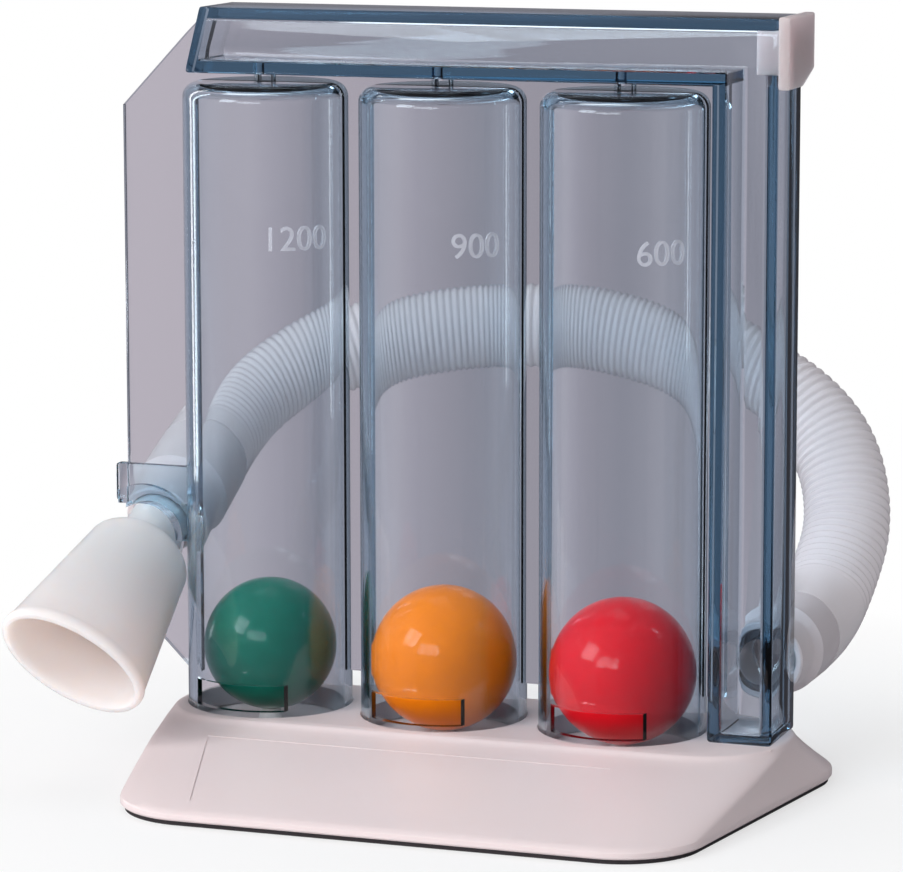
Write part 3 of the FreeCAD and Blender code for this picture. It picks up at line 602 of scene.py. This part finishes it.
# Scale numbers: plain raised digits of clear plastic, moulded with the tubes.
# They stand on the right of each tube's front and follow its curve.
number_material, number_shader = grained_material("number_plastic", (0.75, 0.77, 0.84), 0.12, 0.05, 900, 0.05)
number_shader.inputs["Alpha"].default_value = 0.35
number_height = 0.0924
for words, middle in (("1200", -0.0326), ("900", 0.0), ("600", 0.0326)):
    letters = bpy.data.curves.new("number_" + words, "FONT")
    letters.body = words
    letters.size = 0.0060
    letters.extrude = 0.00025
    letters.align_x = "CENTER"
    letters.align_y = "CENTER"
    source = bpy.data.objects.new("number_source", letters)
    bpy.context.scene.collection.objects.link(source)
    bpy.context.view_layer.update()
    digits_mesh = bpy.data.meshes.new_from_object(source)
    bpy.data.objects.remove(source)
    digits = bpy.data.objects.new("number_" + words, digits_mesh)
    bpy.context.scene.collection.objects.link(digits)
    work = bmesh.new()
    work.from_mesh(digits_mesh)
    long_edges = [edge for edge in work.edges if edge.calc_length() > 0.0012]
    bmesh.ops.subdivide_edges(work, edges=long_edges, cuts=3)
    work.to_mesh(digits_mesh)
    work.free()
    for vertex in digits_mesh.vertices:
        turn = math.radians(42) + vertex.co.x / tube_radius
        reach = tube_radius + 0.0001 + vertex.co.z
        vertex.co = (middle + reach * math.sin(turn), -reach * math.cos(turn), number_height + vertex.co.y)
    digits_mesh.materials.clear()
    digits_mesh.materials.append(number_material)
    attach(digits, "stand")

# Studio: white floor and background, and soft lamps from the left, the front, the right and above.
# Through the clear plastic shows a soft grey wall, lighter on its left, and gloss shows a dim room.
bpy.ops.object.select_all(action="DESELECT")
bpy.ops.mesh.primitive_plane_add(size=6, location=(0, 0, -0.0001))
floor = bpy.context.object
floor.name = "studio_floor"
floor_material, floor_tree, floor_shader = new_material("studio_floor_paint", (0.86, 0.86, 0.87), 0.7)
floor_white = floor_tree.nodes.new("ShaderNodeEmission")
floor_white.inputs["Color"].default_value = (1, 1, 1, 1)
floor_path = floor_tree.nodes.new("ShaderNodeLightPath")
seen = floor_tree.nodes.new("ShaderNodeMath")
seen.operation = "MULTIPLY"
floor_place = floor_tree.nodes.new("ShaderNodeTexCoord")
far = floor_tree.nodes.new("ShaderNodeVectorMath")
far.operation = "LENGTH"
fade = floor_tree.nodes.new("ShaderNodeMapRange")
fade.inputs["From Min"].default_value = 0.06
fade.inputs["From Max"].default_value = 0.16
fade.inputs["To Min"].default_value = 0.6
fade.inputs["To Max"].default_value = 1.0
floor_tree.links.new(floor_place.outputs["Object"], far.inputs[0])
floor_tree.links.new(far.outputs["Value"], fade.inputs["Value"])
floor_tree.links.new(fade.outputs[0], seen.inputs[1])
floor_mix = floor_tree.nodes.new("ShaderNodeMixShader")
floor_open = floor_tree.nodes.new("ShaderNodeBsdfTransparent")
floor_dim = floor_tree.nodes.new("ShaderNodeEmission")
floor_dim.inputs["Color"].default_value = (0.10, 0.10, 0.12, 1)
floor_gloss = floor_tree.nodes.new("ShaderNodeMixShader")
through_mix = floor_tree.nodes.new("ShaderNodeMixShader")
floor_tree.links.new(floor_path.outputs["Is Camera Ray"], seen.inputs[0])
floor_tree.links.new(seen.outputs[0], floor_mix.inputs[0])
floor_tree.links.new(floor_shader.outputs[0], floor_mix.inputs[1])
floor_tree.links.new(floor_white.outputs[0], floor_mix.inputs[2])
floor_tree.links.new(floor_path.outputs["Is Glossy Ray"], floor_gloss.inputs[0])
floor_tree.links.new(floor_mix.outputs[0], floor_gloss.inputs[1])
floor_tree.links.new(floor_dim.outputs[0], floor_gloss.inputs[2])
floor_tree.links.new(floor_path.outputs["Is Transmission Ray"], through_mix.inputs[0])
floor_tree.links.new(floor_gloss.outputs[0], through_mix.inputs[1])
floor_tree.links.new(floor_open.outputs[0], through_mix.inputs[2])
floor_tree.links.new(through_mix.outputs[0], floor_tree.nodes["Material Output"].inputs["Surface"])
floor.data.materials.append(floor_material)

world = bpy.data.worlds.new("studio")
bpy.context.scene.world = world
world.use_nodes = True
world_nodes = world.node_tree.nodes
world_links = world.node_tree.links
room = world_nodes["Background"]
room.inputs["Color"].default_value = (0.80, 0.79, 0.82, 1)
room.inputs["Strength"].default_value = 0.38
white = world_nodes.new("ShaderNodeBackground")
white.inputs["Color"].default_value = (1, 1, 1, 1)
white.inputs["Strength"].default_value = 1
through = world_nodes.new("ShaderNodeBackground")
through.inputs["Strength"].default_value = 1
heading = world_nodes.new("ShaderNodeTexCoord")
split = world_nodes.new("ShaderNodeSeparateXYZ")
across = world_nodes.new("ShaderNodeMath")
across.operation = "MULTIPLY_ADD"
across.inputs[1].default_value = 0.5
across.inputs[2].default_value = 0.5
wall = world_nodes.new("ShaderNodeValToRGB")
wall_tones = ((0.0, (0.50, 0.47, 0.54)), (0.26, (0.68, 0.58, 0.62)), (0.303, (0.65, 0.55, 0.59)),
              (0.316, (0.56, 0.475, 0.52)), (0.333, (0.46, 0.395, 0.435)), (0.353, (0.38, 0.34, 0.38)),
              (0.375, (0.47, 0.42, 0.46)), (1.0, (0.30, 0.29, 0.34)))
while len(wall.color_ramp.elements) < len(wall_tones):
    wall.color_ramp.elements.new(0.5)
for element, (share, tone) in zip(wall.color_ramp.elements, wall_tones):
    element.position = share
    element.color = (*tone, 1)
world_links.new(heading.outputs["Generated"], split.inputs[0])
world_links.new(split.outputs["X"], across.inputs[0])
world_links.new(across.outputs[0], wall.inputs["Fac"])
world_links.new(wall.outputs["Color"], through.inputs["Color"])
dim = world_nodes.new("ShaderNodeBackground")
dim.inputs["Color"].default_value = (0.22, 0.22, 0.25, 1)
dim.inputs["Strength"].default_value = 1
world_path = world_nodes.new("ShaderNodeLightPath")
room_gloss = world_nodes.new("ShaderNodeMixShader")
first_mix = world_nodes.new("ShaderNodeMixShader")
second_mix = world_nodes.new("ShaderNodeMixShader")
world_links.new(world_path.outputs["Is Camera Ray"], first_mix.inputs[0])
world_links.new(room.outputs[0], first_mix.inputs[1])
world_links.new(white.outputs[0], first_mix.inputs[2])
world_links.new(world_path.outputs["Is Transmission Ray"], second_mix.inputs[0])
world_links.new(world_path.outputs["Is Glossy Ray"], room_gloss.inputs[0])
world_links.new(first_mix.outputs[0], room_gloss.inputs[1])
world_links.new(dim.outputs[0], room_gloss.inputs[2])
world_links.new(room_gloss.outputs[0], second_mix.inputs[1])
world_links.new(through.outputs[0], second_mix.inputs[2])
world_links.new(second_mix.outputs[0], world_nodes["World Output"].inputs["Surface"])

for name, place, wide, high, power in (("lamp_key", (-0.62, -0.70, 0.62), 0.45, 0.45, 7.0),
                                       ("lamp_front", (-0.10, -0.95, 0.42), 0.60, 0.30, 4.2),
                                       ("lamp_strip", (-0.30, 0.060, 0.16), 0.025, 0.34, 0.16),
                                       ("lamp_right", (0.55, 0.20, 0.55), 0.08, 0.08, 0.35),
                                       ("lamp_above", (-0.20, 0.20, 0.90), 0.50, 0.50, 1.2)):
    lamp_data = bpy.data.lights.new(name, "AREA")
    lamp_data.shape = "RECTANGLE"
    lamp_data.size = wide
    lamp_data.size_y = high
    lamp_data.energy = power
    lamp = bpy.data.objects.new(name, lamp_data)
    bpy.context.scene.collection.objects.link(lamp)
    lamp.location = place
    lamp.rotation_mode = "QUATERNION"
    lamp.rotation_quaternion = (Vector((0, 0, 0.06)) - Vector(place)).to_track_quat("-Z", "Y")
    lamp.visible_camera = False
    lamp.visible_glossy = name in ("lamp_strip", "lamp_right")
